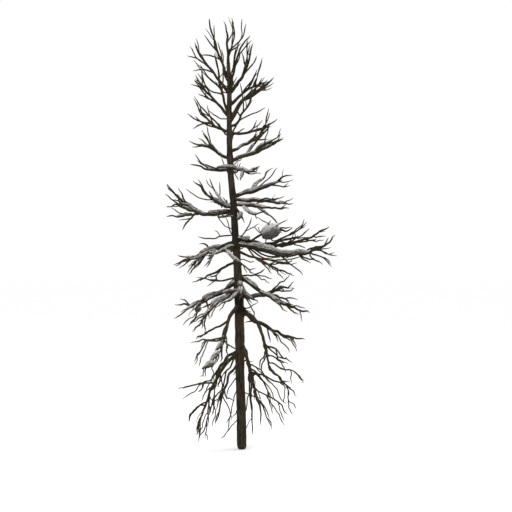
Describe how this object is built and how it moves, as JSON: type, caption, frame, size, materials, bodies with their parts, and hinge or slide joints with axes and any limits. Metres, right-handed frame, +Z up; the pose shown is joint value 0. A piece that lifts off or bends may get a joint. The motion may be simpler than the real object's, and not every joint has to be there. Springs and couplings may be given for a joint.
{
  "type": "dead conifer tree",
  "caption": "Standing dead conifer: one straight tapering trunk with whorls of bare sinuous boughs and twigs, old grey snow lying on the level boughs.",
  "frame": {"origin": "centre of the flat cut under the trunk, at ground level", "axes": "+Z up along the trunk, +X to the tree's right seen from the front, +Y to its back"},
  "size_m": [3.9261, 3.1886, 9.9664],
  "materials": {
    "trunk_wood": "rough dry bark, dark grey-brown",
    "bough_wood": "rough dry bark, dark grey-brown",
    "twigs": "bare dead twigs, matte olive-brown",
    "old_snow": "old crusted snow, grey with pale tops"
  },
  "bodies": {
    "root": {"trunk": "trunk_wood", "middle_left_a_bough": "bough_wood", "broad_right_a_bough": "bough_wood", "broad_left_a_bough": "bough_wood", "low_right_a_bough": "bough_wood", "low_left_a_bough": "bough_wood", "hanging_right_a_bough": "bough_wood", "hanging_right_b_bough": "bough_wood", "hanging_right_c_bough": "bough_wood", "hanging_left_a_bough": "bough_wood", "hanging_left_b_bough": "bough_wood", "broad_right_a_snow": "old_snow", "middle_left_a_snow": "old_snow", "leader_tip_twigs": "twigs", "leader_left_twigs": "twigs", "leader_right_twigs": "twigs", "top_right_a_twigs": "twigs", "top_left_a_twigs": "twigs", "top_back_a_twigs": "twigs", "top_right_b_twigs": "twigs", "top_left_b_twigs": "twigs", "top_left_c_twigs": "twigs", "top_right_c_twigs": "twigs", "top_front_a_twigs": "twigs", "top_left_d_twigs": "twigs", "top_right_d_twigs": "twigs", "top_back_b_twigs": "twigs", "upper_right_a_twigs": "twigs", "upper_left_a_twigs": "twigs", "upper_right_b_twigs": "twigs", "upper_left_b_twigs": "twigs", "upper_right_c_twigs": "twigs", "upper_back_a_twigs": "twigs", "middle_right_a_twigs": "twigs", "middle_right_b_twigs": "twigs", "middle_right_c_twigs": "twigs", "middle_back_a_twigs": "twigs", "middle_left_a_twigs": "twigs", "middle_left_b_twigs": "twigs", "broad_right_a_twigs": "twigs", "broad_right_b_twigs": "twigs", "broad_right_c_twigs": "twigs", "broad_front_twigs": "twigs", "broad_left_a_twigs": "twigs", "broad_back_twigs": "twigs", "broad_left_b_twigs": "twigs", "low_right_a_twigs": "twigs", "low_right_b_twigs": "twigs", "low_left_a_twigs": "twigs", "low_left_b_twigs": "twigs", "low_front_twigs": "twigs", "low_back_twigs": "twigs", "hanging_right_a_twigs": "twigs", "hanging_right_b_twigs": "twigs", "hanging_right_c_twigs": "twigs", "hanging_left_a_twigs": "twigs", "hanging_left_b_twigs": "twigs", "hanging_left_c_twigs": "twigs", "hanging_back_a_twigs": "twigs", "hanging_back_b_twigs": "twigs"}
  },
  "joints": []
}
